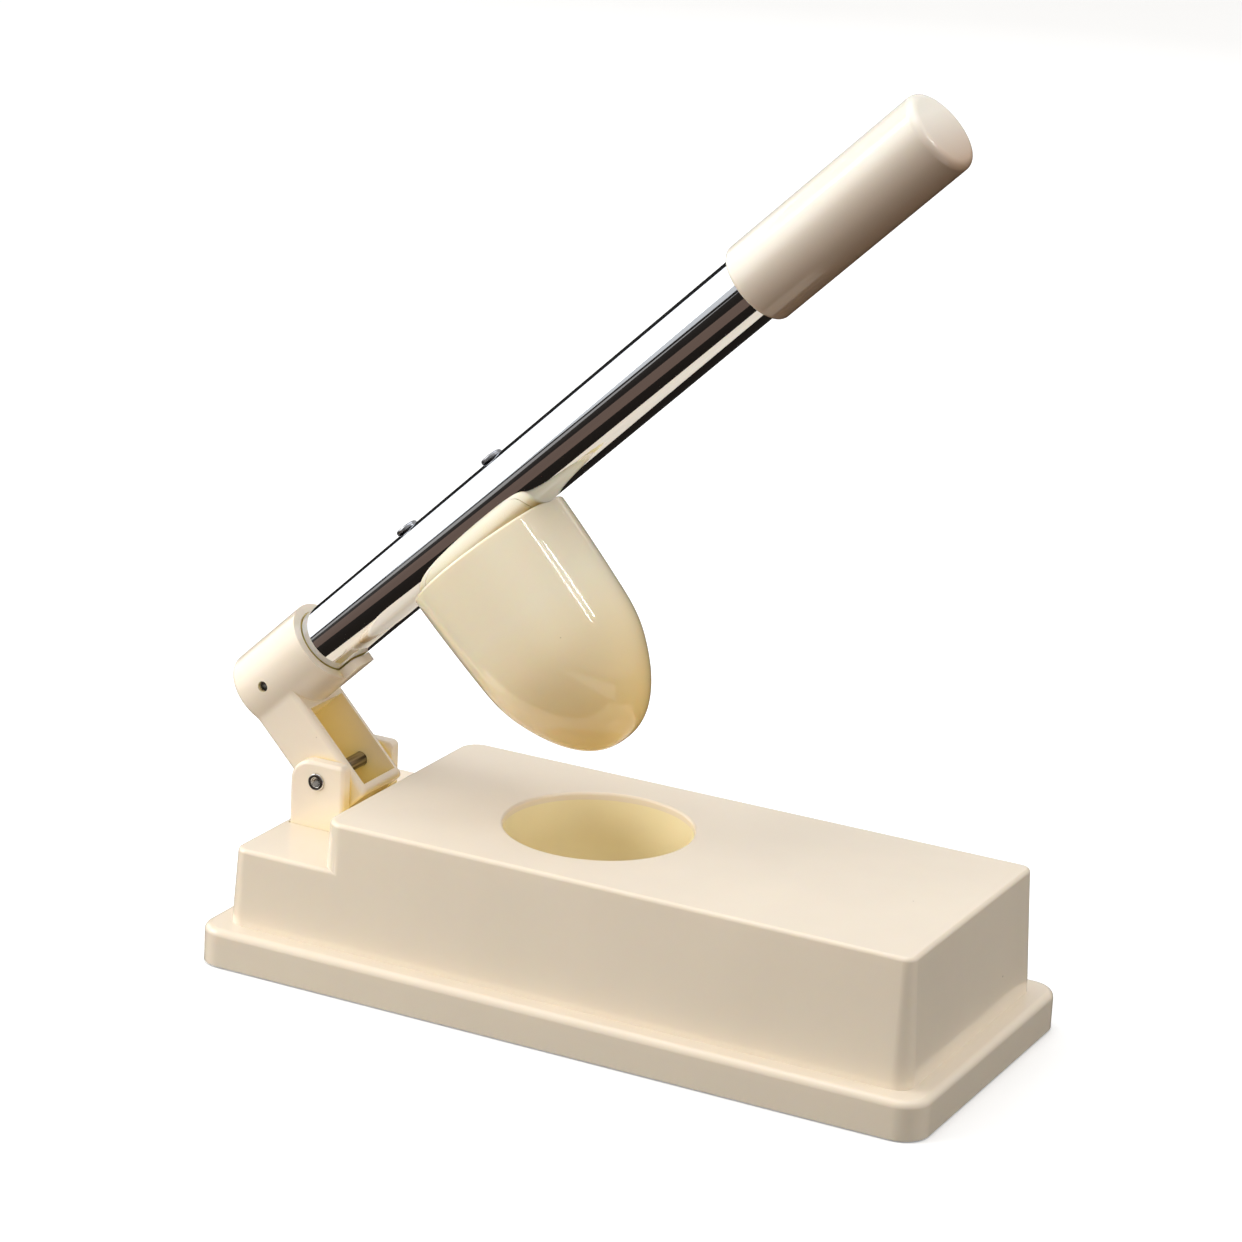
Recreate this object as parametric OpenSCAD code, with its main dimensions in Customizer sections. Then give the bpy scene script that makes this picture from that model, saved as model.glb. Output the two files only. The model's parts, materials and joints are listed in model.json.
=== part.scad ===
// Hand lever press: a domed plunger on a hinged tube swings down into a round well.
// Origin: on the table, under the middle of the whole machine with its lever raised.
// +X runs from the hinge to the free end, +Z is up. Each piece is drawn with X = 0 at
// the middle of the base and moved by centre_shift at the end. The lever is drawn in
// its own frame (X along the tube, Z away from the hinge pin) and then turned up by
// lever_angle about the pin.

/* [Base] */
// overall length of the skirt
base_length = 312; // [250:1:380]
// overall width of the skirt
base_width = 139.4; // [110:0.1:180]
// height of the raised block's top above the table
base_height = 66.8; // [55:0.1:80]
// height of the low deck at the hinge end
deck_height = 47.5; // [40:0.1:55]
// length of the low deck
deck_length = 38.7; // [30:0.1:60]
// height of the skirt's ledge
skirt_height = 16; // [10:0.1:25]
// how far the skirt stands out from the top outline
skirt_reach = 11.6; // [6:0.1:18]
// lean of the walls, sideways travel per unit of height
wall_draft = 0.055; // [0:0.001:0.1]
// wall thickness of the mouldings
wall = 3; // [2:0.1:5]
// height of the rubber feet below the skirt
foot_drop = 0.6; // [0.3:0.1:3]

/* [Well] */
// radius of the round well
well_r = 37.5; // [30:0.1:45]
// position of the well along the base
well_x = -15; // [-30:0.5:10]
// height of the well's lowest inside point
well_floor = 8.2; // [8:0.1:15]

/* [Hinge] */
// position of the hinge pin along the base
pin_x = -130.5; // [-140:0.1:-120]
// height of the hinge pin
pin_z = 67; // [60:0.1:80]
// radius of the hinge pin
pin_r = 3; // [2:0.1:5]
// outer half width over the two ears
ear_outer = 22.1; // [18:0.1:30]
// thickness of one ear
ear_thick = 6; // [4:0.1:8]
// half length of an ear along the base
ear_half = 12.3; // [10:0.1:16]

/* [Lever] */
// angle of the tube above the table in the drawn pose
lever_angle = 44; // [2:1:110]
// height of the tube's axis above the pin, square to the tube
tube_q = 43.9; // [38:0.1:55]
// outer radius of the tube
tube_r = 13.5; // [10:0.1:16]
// wall thickness of the tube
tube_wall = 1.5; // [1:0.1:3]
// distance of the plunger's axis from the pin, along the tube
plunger_s = 115.5; // [100:0.5:130]
// radius of the plunger at its rim
plunger_r = 35.1; // [25:0.1:37]
// radius of the plunger where its dome starts
dome_r = 33; // [24:0.1:36]
// height of the plunger's rim in the lever frame
plunger_top = 31.5; // [30:0.1:34]
// where the dome starts in the lever frame
dome_start = -21; // [-30:0.1:-10]
// the plunger's lowest point in the lever frame
plunger_tip = -59.8; // [-65:0.1:-50]
// start of the grip along the tube
grip_start = 277; // [240:1:300]
// end of the grip along the tube
grip_end = 374; // [340:1:400]
// radius of the grip
grip_r = 16.6; // [14:0.1:20]

/* [Hidden] */
$fn = 64;
eps = 0.01;
centre_shift = 12.3;
ivory = [0.93, 0.87, 0.76];
steel = [0.78, 0.78, 0.78];
brass = [0.8, 0.65, 0.3];
black = [0.1, 0.1, 0.1];

top_x0 = -base_length / 2 + skirt_reach;
top_x1 = base_length / 2 - skirt_reach;
top_y = base_width / 2 - skirt_reach;
step_x = top_x0 + deck_length;
skirt_x = base_length / 2;
skirt_y = base_width / 2;
body_corner = 4.6;
step_corner = 8.5;
blend_x0 = -40;
blend_x1 = 20;
skirt_corner = 11;
edge_round = 1.8;
ledge_round = 3;
ceiling = base_height - wall;
deck_ceiling = deck_height - wall;

plate_thick = 2.5;
plate_z = foot_drop + 2;
plate_top = plate_z + plate_thick;
post_x = [-128, 10, 128];
post_y = 53;
post_r = 4.5;
foot_x = 138;
foot_y = 42;

cup_wall = 3;
cup_flange_z = 52;
cup_flange_thick = 3;
cup_screw_r = 47.5;
cup_dome_z = 47;
cup_power = 1.75;

bracket_z = 34.5;
bracket_thick = 3.5;
bracket_screw_dx = 8;
bracket_screw_y = 31;
ear_top = 75.2;
clip_y = ear_outer + 0.45;

arm_front = 11.2;
arm_back = -11.6;
arm_foot = -15.5;
cheek_outer = 15.2;
cheek_thick = 3.2;
pocket_foot = -11.5;
pocket_top = 25.6;
socket_r = 17.5;
socket_mouth = 28.5;
tongue_end = 40.5;
tongue_half = 5.3;
lock_s = 2;
lock_r = 2.2;
bush_r = 4.5;
bush_seat = 2.4;

cap_r = 31;
cap_thick = 5;
shell_wall = 4.6;
plunger_drop_power = 1.25;
plunger_side_power = 2.3;
plunger_bow = 1.8;
plunger_screw_ds = 25.25;
plunger_screw_r = 2;
insert_r = 3.2;
insert_length = 9;

// ---------- helpers ----------

// Moves a finished piece so the machine stands centred over the origin.
module placed() {
    translate([centre_shift, 0, 0])
        children();
}

// Puts lever parts in place: lever frame to base frame.
module on_lever() {
    translate([pin_x, 0, pin_z])
        rotate([0, -lever_angle, 0])
            children();
}

// Lays a cylinder along Y, centred on Y = 0.
module rod_y(r, length) {
    rotate([90, 0, 0])
        cylinder(r = r, h = length, center = true);
}

// Lays a cylinder along X from x0 to x1.
module rod_x(r, x0, x1) {
    translate([x0, 0, 0])
        rotate([0, 90, 0])
            cylinder(r = r, h = x1 - x0);
}

// A round-cornered block whose outline grows by g0 at z0 and g1 at z1.
module leaning_block(x0, x1, half_y, r, z0, z1, g0, g1) {
    inner_y = half_y - r;
    translate([0, inner_y, 0])
        rotate([90, 0, 0])
            linear_extrude(2 * inner_y)
                polygon([[x0 - g0, z0], [x1 + g0, z0], [x1 + g1, z1], [x0 - g1, z1]]);
    translate([x0 + r, 0, 0])
        rotate([90, 0, 90])
            linear_extrude(x1 - x0 - 2 * r)
                polygon([
                    [-half_y - g0, z0], [half_y + g0, z0],
                    [half_y + g1, z1], [-half_y - g1, z1]
                ]);
    for (x = [x0 + r, x1 - r], y = [-inner_y, inner_y])
        translate([x, y, z0])
            cylinder(r1 = r + g0, r2 = r + g1, h = z1 - z0);
}

// How far a drafted wall stands outside the top outline at height z.
function lean(z) = wall_draft * (base_height - z);

// A drafted block from z0 to z1 with its top edge eased in two steps.
module moulded_block(x0, x1, half_y, r, z0, z1) {
    edge_z = z1 - edge_round;
    mid_z = z1 - 0.29 * edge_round;
    leaning_block(x0, x1, half_y, r, z0, edge_z, lean(z0), lean(edge_z));
    leaning_block(x0, x1, half_y, r, edge_z, mid_z, lean(edge_z), lean(z1) - 0.29 * edge_round);
    leaning_block(x0, x1, half_y, r, mid_z, z1, lean(z1) - 0.29 * edge_round,
        lean(z1) - edge_round);
}

// A screw that points up: head below z = 0, threaded shank above.
module screw_up(shank_r, length, head_r, head_h) {
    difference() {
        union() {
            translate([0, 0, -head_h])
                cylinder(r = head_r, h = head_h);
            cylinder(r = shank_r, h = length);
        }
        translate([0, 0, -head_h - eps])
            cylinder(r = head_r * 0.45, h = head_h * 0.7, $fn = 6);
    }
}

module at_posts() {
    for (x = post_x, y = [-post_y, post_y])
        translate([x, y, 0])
            children();
}

module at_cup_screws() {
    for (a = [45 : 90 : 315])
        translate([well_x + cup_screw_r * cos(a), cup_screw_r * sin(a), 0])
            children();
}

module at_bracket_screws() {
    for (x = [-bracket_screw_dx, bracket_screw_dx])
        for (y = [-bracket_screw_y, bracket_screw_y])
            translate([pin_x + x, y, 0])
                children();
}

module at_plunger_screws() {
    for (s = [-plunger_screw_ds, plunger_screw_ds])
        translate([plunger_s + s, 0, 0])
            children();
}

// ---------- base ----------

// Skirt, low body and raised block as one outer volume.
module base_outside() {
    ledge_z = skirt_height - ledge_round;
    ledge_mid = skirt_height - 0.29 * ledge_round;
    leaning_block(-skirt_x, skirt_x, skirt_y, skirt_corner, foot_drop, ledge_z, 0, 0);
    leaning_block(-skirt_x, skirt_x, skirt_y, skirt_corner, ledge_z, ledge_mid,
        0, -0.29 * ledge_round);
    leaning_block(-skirt_x, skirt_x, skirt_y, skirt_corner, ledge_mid, skirt_height,
        -0.29 * ledge_round, -ledge_round);
    // The blocks start inside the skirt, the low one deeper, so no two feet share a plane.
    moulded_block(top_x0, step_x + 60, top_y, body_corner, skirt_height - 2, deck_height);
    moulded_block(step_x, blend_x1, top_y, step_corner, skirt_height - 1, base_height);
    moulded_block(blend_x0, top_x1, top_y, body_corner, skirt_height - 1, base_height);
}

// The hollow, one wall inside the outer volume.
module base_inside() {
    inner_y = top_y - wall;
    foot_z = skirt_height - wall - 1;
    leaning_block(-skirt_x + wall, skirt_x - wall, skirt_y - wall, skirt_corner - wall,
        0, skirt_height - wall, 0, 0);
    leaning_block(top_x0 + wall, step_x + 60, inner_y, 3, foot_z, deck_ceiling,
        lean(foot_z), lean(deck_ceiling));
    leaning_block(step_x + wall, top_x1 - wall, inner_y, 3, foot_z, ceiling,
        lean(foot_z), lean(ceiling));
}

// Bosses that hang from the ceilings, and the posts for the bottom plate.
module base_bosses() {
    at_cup_screws()
        translate([0, 0, cup_flange_z + cup_flange_thick])
            cylinder(r = 4, h = ceiling - cup_flange_z - cup_flange_thick + 1);
    at_bracket_screws()
        translate([0, 0, bracket_z + bracket_thick])
            cylinder(r = 3.6, h = deck_ceiling - bracket_z - bracket_thick + 1);
    at_posts()
        translate([0, 0, plate_top])
            cylinder(r = post_r, h = deck_ceiling - plate_top + 1);
}

// Slots in the deck for the two ears, with a little play all round.
module ear_slots() {
    for (side = [-1, 1])
        translate([pin_x - ear_half - 0.2, side * (ear_outer - ear_thick / 2) - ear_thick / 2 - 0.2,
            deck_ceiling - 11])
            cube([2 * ear_half + 0.4, ear_thick + 0.4, wall + 16]);
}

module base_shell() {
    color(ivory)
    difference() {
        union() {
            difference() {
                base_outside();
                base_inside();
            }
            base_bosses();
        }
        translate([well_x, 0, ceiling - 2])
            cylinder(r = well_r, h = wall + 4);
        translate([well_x, 0, base_height - 0.8])
            cylinder(r1 = well_r, r2 = well_r + 0.9, h = 0.9);
        at_cup_screws()
            translate([0, 0, cup_flange_z])
                cylinder(r = 1.5, h = 9.5);
        at_bracket_screws()
            translate([0, 0, bracket_z])
                cylinder(r = 1.5, h = 9.5);
        at_posts()
            translate([0, 0, plate_z])
                cylinder(r = 1.5, h = 13);
        ear_slots();
    }
}

module bottom_plate() {
    color(ivory)
    difference() {
        leaning_block(-skirt_x + wall + 0.4, skirt_x - wall - 0.4, skirt_y - wall - 0.4,
            skirt_corner - wall - 0.4, plate_z, plate_top, 0, 0);
        at_posts()
            translate([0, 0, plate_z - 1])
                cylinder(r = 1.8, h = plate_thick + 2);
        for (x = [-foot_x, foot_x], y = [-foot_y, foot_y])
            translate([x, y, plate_z - 1])
                cylinder(r = 2.5, h = plate_thick + 2);
    }
}

module bottom_plate_screws() {
    color(steel)
    at_posts()
        translate([0, 0, plate_z])
            screw_up(1.48, 10, 3.2, 1.6);
}

module rubber_feet() {
    color(black)
    for (x = [-foot_x, foot_x], y = [-foot_y, foot_y])
        translate([x, y, 0]) {
            cylinder(r = 7, h = plate_z);
            cylinder(r = 2.45, h = plate_top + 0.1);
            translate([0, 0, plate_top + 0.1])
                cylinder(r1 = 3.4, r2 = 2, h = 2);
        }
}

// Profile of a dome below z = 0: half width r, depth h. A power of 2 on both gives an
// ellipse, a lower drop_power a more pointed tip, a higher side_power a fuller side.
function dome_points(r, h, steps, drop_power, side_power) = [
    for (i = [0 : steps])
        let (a = 90 * i / steps)
            [r * pow(cos(a), 2 / side_power), -h * pow(sin(a), 2 / drop_power)]
];

module well_cup() {
    rim_z = ceiling;
    depth = cup_dome_z - well_floor;
    outer = dome_points(well_r + cup_wall, depth + 2.6, 12, cup_power, cup_power);
    inner = dome_points(well_r, depth, 12, cup_power, cup_power);
    color(ivory)
    translate([well_x, 0, 0])
        difference() {
            union() {
                translate([0, 0, cup_dome_z])
                    rotate_extrude()
                        polygon(concat(outer, [[0, 1], [well_r + cup_wall, 1]]));
                translate([0, 0, cup_dome_z])
                    cylinder(r = well_r + cup_wall, h = rim_z - cup_dome_z);
                translate([0, 0, cup_flange_z])
                    cylinder(r = cup_screw_r + 5, h = cup_flange_thick);
            }
            translate([0, 0, cup_dome_z])
                rotate_extrude()
                    polygon(concat(inner, [[0, 1], [well_r, 1]]));
            translate([0, 0, cup_dome_z])
                cylinder(r = well_r, h = rim_z - cup_dome_z + 1);
            translate([-well_x, 0, 0])
                at_cup_screws()
                    translate([0, 0, cup_flange_z - 1])
                        cylinder(r = 1.8, h = cup_flange_thick + 2);
        }
}

module well_cup_screws() {
    color(steel)
    at_cup_screws()
        translate([0, 0, cup_flange_z])
            screw_up(1.48, 9, 3.2, 2);
}

// ---------- hinge ----------

// Side outline of one ear, from the bracket's plate up.
module ear_outline() {
    back_r = 9.5;
    front_r = 2.5;
    top = ear_top - bracket_z;
    square([2 * ear_half, top - back_r]);
    translate([back_r, 0])
        square([2 * ear_half - back_r - front_r, top]);
    translate([back_r, top - back_r])
        circle(r = back_r);
    translate([2 * ear_half - front_r, top - front_r])
        circle(r = front_r);
    translate([2 * ear_half - front_r, 0])
        square([front_r, top - front_r]);
}

module hinge_bracket() {
    color(ivory)
    difference() {
        union() {
            for (side = [-1, 1])
                translate([pin_x - ear_half, side * (ear_outer - ear_thick / 2) + ear_thick / 2,
                    bracket_z])
                    rotate([90, 0, 0])
                        linear_extrude(ear_thick)
                            ear_outline();
            translate([pin_x - ear_half, -bracket_screw_y - 5, bracket_z])
                cube([2 * ear_half, 2 * bracket_screw_y + 10, bracket_thick]);
        }
        translate([pin_x, 0, pin_z])
            rod_y(pin_r + 0.02, 3 * ear_outer);
        translate([pin_x, -ear_outer, pin_z])
            rod_y(3.7, 2.4);
        at_bracket_screws()
            translate([0, 0, bracket_z - 1])
                cylinder(r = 1.8, h = bracket_thick + 2);
    }
}

module hinge_bracket_screws() {
    color(steel)
    at_bracket_screws()
        translate([0, 0, bracket_z])
            screw_up(1.48, 9, 3.2, 2);
}

module hinge_pin() {
    color(steel)
    translate([pin_x, 0, pin_z])
        difference() {
            union() {
                translate([0, ear_outer + 2, 0])
                    rotate([90, 0, 0])
                        cylinder(r = pin_r, h = 2 * ear_outer + 2);
                translate([0, -ear_outer + 1.2, 0])
                    rotate([90, 0, 0])
                        cylinder(r = 3.6, h = 1.9);
            }
            translate([0, -ear_outer - 0.75, 0])
                rod_y(2, 5);
            translate([0, clip_y, 0])
                difference() {
                    rod_y(pin_r + 1, 0.9);
                    rod_y(pin_r - 0.6, 2);
                }
        }
}

module pin_retaining_clip() {
    color(steel)
    translate([pin_x, clip_y, pin_z])
        difference() {
            rod_y(5.5, 0.8);
            rod_y(pin_r - 0.55, 2);
            translate([-1.6, -2, -8])
                cube([3.2, 4, 8]);
        }
}

// ---------- lever ----------

// Side outline of the arm below the socket.
module arm_outline() {
    r = 3;
    translate([arm_back, arm_foot + r])
        square([arm_front - arm_back, tube_q - arm_foot - r]);
    translate([arm_back + r, arm_foot])
        square([arm_front - arm_back - 2 * r, r + 1]);
    for (s = [arm_back + r, arm_front - r])
        translate([s, arm_foot + r])
            circle(r = r);
}

// The tongue: a strip of the socket's wall that runs on under the tube.
module tongue() {
    intersection() {
        translate([0, 0, tube_q])
            difference() {
                rod_x(socket_r, socket_mouth - 4, tongue_end);
                rod_x(tube_r + 0.5, socket_mouth - 6, tongue_end + 1);
            }
        union() {
            translate([socket_mouth - 4, -tongue_half, 0])
                cube([tongue_end - tongue_half - socket_mouth + 4, 2 * tongue_half, tube_q]);
            translate([tongue_end - tongue_half, 0, 0])
                cylinder(r = tongue_half, h = tube_q);
        }
    }
}

module hinge_arm() {
    round_back = 2.5;
    color(ivory)
    on_lever()
        difference() {
            union() {
                translate([0, cheek_outer, 0])
                    rotate([90, 0, 0])
                        linear_extrude(2 * cheek_outer)
                            arm_outline();
                translate([0, 0, tube_q]) {
                    rod_x(socket_r, arm_back + round_back, socket_mouth);
                    rod_x(socket_r - round_back, arm_back, socket_mouth);
                    translate([arm_back + round_back, 0, 0])
                        rotate([0, 90, 0])
                            rotate_extrude()
                                translate([socket_r - round_back, 0])
                                    circle(r = round_back);
                }
                tongue();
            }
            translate([0, 0, tube_q])
                rod_x(tube_r + 0.05, -8.5, socket_mouth + 1);
            translate([0, 0, tube_q])
                rod_x(tube_r + 0.5, socket_mouth - 1, tongue_end + 1);
            translate([arm_back + cheek_thick, -cheek_outer + cheek_thick, pocket_foot])
                cube([40, 2 * (cheek_outer - cheek_thick), pocket_top - pocket_foot]);
            rod_y(pin_r + 0.1, 3 * cheek_outer);
            for (side = [-1, 1])
                translate([0, side * (cheek_outer - bush_seat + 10), 0])
                    rod_y(bush_r + 0.02, 20);
            translate([lock_s, 0, tube_q])
                rod_y(lock_r + 0.02, 3 * socket_r);
        }
}

module hinge_bushes() {
    color(brass)
    on_lever()
        for (side = [0, 1])
            mirror([0, side, 0])
                difference() {
                    union() {
                        translate([0, cheek_outer + 0.8, 0])
                            rotate([90, 0, 0])
                                cylinder(r = 6.5, h = 0.8);
                        translate([0, cheek_outer + 0.4, 0])
                            rotate([90, 0, 0])
                                cylinder(r = bush_r, h = bush_seat + 0.35);
                    }
                    rod_y(pin_r + 0.05, 3 * cheek_outer);
                }
}

module handle_tube() {
    color(steel)
    on_lever()
        difference() {
            translate([0, 0, tube_q])
                rod_x(tube_r, -8, grip_end - 3.5);
            translate([0, 0, tube_q])
                rod_x(tube_r - tube_wall, -9, grip_end);
            translate([lock_s, 0, tube_q])
                rod_y(lock_r + 0.02, 3 * tube_r);
            at_plunger_screws()
                cylinder(r = plunger_screw_r + 0.15, h = tube_q + 2 * tube_r);
        }
}

module tube_lock_pin() {
    color(steel)
    on_lever()
        translate([lock_s, 0, tube_q])
            difference() {
                rod_y(lock_r, 2 * socket_r - 2.2);
                rod_y(lock_r - 0.6, 3 * socket_r);
            }
}

module handle_grip() {
    edge = 2.2;
    length = grip_end - grip_start;
    color(ivory)
    on_lever()
        translate([grip_start, 0, tube_q])
            rotate([0, 90, 0])
                difference() {
                    rotate_extrude()
                        union() {
                            square([grip_r - edge, length]);
                            translate([0, edge])
                                square([grip_r, length - 2 * edge]);
                            for (z = [edge, length - edge])
                                translate([grip_r - edge, z])
                                    circle(r = edge);
                        }
                    translate([0, 0, -1])
                        cylinder(r = tube_r + 0.05, h = length - 2.2);
                }
}

// The plunger's radius at a height between its rim and its dome: the wall bows out a little.
function plunger_wall_r(q) =
    let (share = (plunger_top - q) / (plunger_top - dome_start))
        dome_r + (plunger_r - dome_r) * (1 - pow(share, plunger_bow));

// Outer profile of the plunger, axis at x = 0.
function plunger_profile() = concat(
    [[0, plunger_top], [plunger_r - 1.2, plunger_top]],
    [for (share = [0 : 0.2 : 0.8])
        let (q = plunger_top - 1.2 - share * (plunger_top - 1.2 - dome_start))
            [plunger_wall_r(q), q]],
    [for (p = dome_points(dome_r, dome_start - plunger_tip, 16,
            plunger_drop_power, plunger_side_power))
        [p[0], p[1] + dome_start]]
);

// The same, one wall inside, open at the top for the cap. Its dome is a little rounder.
function hollow_profile() = concat(
    [[0, plunger_top], [plunger_r - shell_wall, plunger_top]],
    [for (p = dome_points(dome_r - shell_wall, dome_start - plunger_tip - shell_wall, 12,
            1.5, 2))
        [p[0], p[1] + dome_start]]
);

module plunger_posts() {
    at_plunger_screws()
        translate([0, 0, plunger_tip])
            cylinder(r = 6.2, h = plunger_top - cap_thick - plunger_tip);
}

module plunger_solid() {
    translate([plunger_s, 0, 0])
        rotate_extrude()
            polygon(plunger_profile());
}

module plunger_head() {
    color(ivory)
    on_lever()
        difference() {
            plunger_solid();
            difference() {
                translate([plunger_s, 0, 0])
                    rotate_extrude()
                        polygon(hollow_profile());
                plunger_posts();
            }
            translate([plunger_s, 0, plunger_top - cap_thick])
                cylinder(r = cap_r + 0.1, h = cap_thick + 1);
            at_plunger_screws()
                translate([0, 0, plunger_top - cap_thick - insert_length - 2])
                    cylinder(r = insert_r + 0.02, h = insert_length + 3);
            translate([0, 0, tube_q])
                rod_x(tube_r + 0.05, plunger_s - 40, plunger_s + 40);
        }
}

module plunger_cap() {
    color(ivory)
    on_lever()
        difference() {
            translate([plunger_s, 0, plunger_top - cap_thick])
                cylinder(r = cap_r, h = cap_thick);
            translate([0, 0, tube_q])
                rod_x(tube_r + 0.05, plunger_s - 40, plunger_s + 40);
            at_plunger_screws()
                cylinder(r = plunger_screw_r + 0.15, h = tube_q);
        }
}

module plunger_inserts() {
    color(brass)
    on_lever()
        at_plunger_screws()
            translate([0, 0, plunger_top - cap_thick - insert_length])
                difference() {
                    cylinder(r = insert_r, h = insert_length);
                    translate([0, 0, -1])
                        cylinder(r = plunger_screw_r + 0.02, h = insert_length + 2);
                }
}

module plunger_screws() {
    tip = plunger_top - cap_thick - insert_length - 1;
    head_z = tube_q + tube_r + 0.02;
    color(steel)
    on_lever()
        at_plunger_screws()
            difference() {
                union() {
                    translate([0, 0, tip])
                        cylinder(r = plunger_screw_r, h = head_z - tip + 1);
                    translate([0, 0, head_z])
                        cylinder(r = 4.6, h = 1);
                    translate([0, 0, head_z + 1])
                        cylinder(r1 = 4.6, r2 = 3.8, h = 0.7);
                }
                translate([0, 0, head_z + 0.6])
                    cylinder(r = 1.6, h = 3, $fn = 6);
            }
}

module screw_spacers() {
    r = 4;
    reach = sqrt(pow(tube_r - tube_wall, 2) - r * r) - 0.05;
    color(steel)
    on_lever()
        at_plunger_screws()
            translate([0, 0, tube_q - reach])
                difference() {
                    cylinder(r = r, h = 2 * reach);
                    translate([0, 0, -1])
                        cylinder(r = plunger_screw_r + 0.15, h = 2 * reach + 2);
                }
}

// ---------- which pieces are drawn ----------

placed() base_shell();
placed() bottom_plate();
placed() bottom_plate_screws();
placed() rubber_feet();
placed() well_cup();
placed() well_cup_screws();
placed() hinge_bracket();
placed() hinge_bracket_screws();
placed() hinge_pin();
placed() pin_retaining_clip();
placed() hinge_arm();
placed() hinge_bushes();
placed() handle_tube();
placed() tube_lock_pin();
placed() handle_grip();
placed() plunger_head();
placed() plunger_cap();
placed() plunger_inserts();
placed() plunger_screws();
placed() screw_spacers();
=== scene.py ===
"""Looks for the hand lever press: glossy ivory mouldings, a chromed lever tube and small steel fasteners.

Shapes are in millimetres. Pieces of the base are drawn in the base's own frame (X = 0 at its middle, Z up)
and pieces of the lever in the lever's (X along the tube, Z away from the hinge pin, origin at the pin).
"""

import json
from math import atan2, cos, pi, radians, sin, sqrt

import bmesh
import bpy
from mathutils import Matrix, Vector


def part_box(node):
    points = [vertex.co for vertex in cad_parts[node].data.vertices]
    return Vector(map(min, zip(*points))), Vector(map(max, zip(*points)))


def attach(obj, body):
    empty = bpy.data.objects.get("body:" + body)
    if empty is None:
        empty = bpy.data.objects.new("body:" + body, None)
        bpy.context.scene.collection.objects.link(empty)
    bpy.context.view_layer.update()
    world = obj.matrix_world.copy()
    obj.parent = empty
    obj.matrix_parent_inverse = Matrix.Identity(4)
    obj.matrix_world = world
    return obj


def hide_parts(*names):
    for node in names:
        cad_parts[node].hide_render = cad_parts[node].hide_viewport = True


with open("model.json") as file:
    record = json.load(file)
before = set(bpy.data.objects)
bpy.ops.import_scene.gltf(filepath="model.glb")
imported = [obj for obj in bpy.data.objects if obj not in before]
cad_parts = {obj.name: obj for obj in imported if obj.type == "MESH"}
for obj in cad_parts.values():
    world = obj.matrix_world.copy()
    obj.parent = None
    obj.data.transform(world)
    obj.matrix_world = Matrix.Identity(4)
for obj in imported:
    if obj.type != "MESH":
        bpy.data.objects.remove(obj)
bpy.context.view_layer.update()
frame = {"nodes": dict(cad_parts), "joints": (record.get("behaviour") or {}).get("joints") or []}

# ---------- sizes ----------

MM = 0.001
LEVER_ANGLE = 44

shell_lo, shell_hi = [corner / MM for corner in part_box("base_shell")]
pin_place = Vector(frame["joints"][0]["pos_m"])
centre_x = (shell_lo.x + shell_hi.x) / 2

BASE = Matrix.Translation((centre_x * MM, 0, 0))
LEVER = Matrix.Translation(pin_place) @ Matrix.Rotation(-radians(LEVER_ANGLE), 4, "Y")

# base
skirt_x = (shell_hi.x - shell_lo.x) / 2
skirt_y = shell_hi.y
skirt_foot = shell_lo.z
skirt_height = 16
skirt_reach = 11.6
skirt_corner = 11
ledge_round = 3
block_x = skirt_x - skirt_reach
block_y = skirt_y - skirt_reach
block_top = shell_hi.z
block_corner = 4.6
step_corner = 8.5
step_x = -block_x + 38.7
deck_top = 47.5
edge_round = 1.8
wall_draft = 0.055
wall = 3
plate_top = 5.1
post_x = (-128, 10, 128)
post_y = 53
post_r = 4.5

# well
well_x = -15
well_r = 37.5
well_floor = 8.2
well_dome_z = 47
well_power = 1.75
well_rim_round = 1.2
cup_wall = 3
cup_bottom = 2.6
cup_flange_z = 52
cup_flange_thick = 3
cup_screw_r = 47.5
cup_screw_angles = (45, 135, 225, 315)
cup_boss_r = 4

# hinge
pin_x = pin_place.x / MM - centre_x
pin_z = pin_place.z / MM
pin_r = 3
ear_outer = 22.1
ear_thick = 6
ear_half = 12.3
ear_top = 75.2
ear_back_round = 9.5
ear_front_round = 2.5
slot_gap = 0.2
pin_head_r = 3.6
pin_head = 0.7
pin_socket_r = 2
bracket_z = 34.5
bracket_thick = 3.5
bracket_reach = 36
bracket_screw_dx = 8
bracket_screw_y = 31
bracket_boss_r = 3.6
bracket_hole_r = 1.8

# lever
tube_q = 43.9
tube_r = 13.5
tube_wall = 1.5
tube_start = -8
tube_end = 370.5
arm_back = -11.6
arm_front = 11.2
arm_foot = -15.5
cheek_outer = 15.2
cheek_thick = 3.2
pocket_foot = -11.5
pocket_top = 25.6
bush_r = 4.5
bush_seat = 2.4
lock_s = 2
lock_r = 2.2
socket_r = 17.5
socket_mouth = 28.5
tongue_end = 40.5
tongue_half = 5.3
grip_start = 277
grip_end = 374
grip_r = 16.6
plunger_s = 115.5
plunger_r = 35.1
plunger_top = 31.5
dome_r = 33
dome_start = -21
plunger_tip = -59.8
plunger_wall = 4.6
plunger_bow = 1.8
plunger_drop_power = 1.25
plunger_side_power = 2.3
plunger_blend = 8
cap_r = 31
cap_thick = 5
plunger_post_r = 6.2
insert_r = 3.2
plunger_screw_s = [plunger_s - 25.25, plunger_s + 25.25]
plunger_screw_r = 2
screw_head_r = 4.6
screw_head = 1.7


# ---------- outlines ----------

def arc(centre, radius, start, end, steps):
    """Points from angle start to angle end, in degrees, both included."""
    angles = [radians(start + (end - start) * i / steps) for i in range(steps + 1)]
    return [Vector((centre[0] + radius * cos(a), centre[1] + radius * sin(a))) for a in angles]


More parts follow.
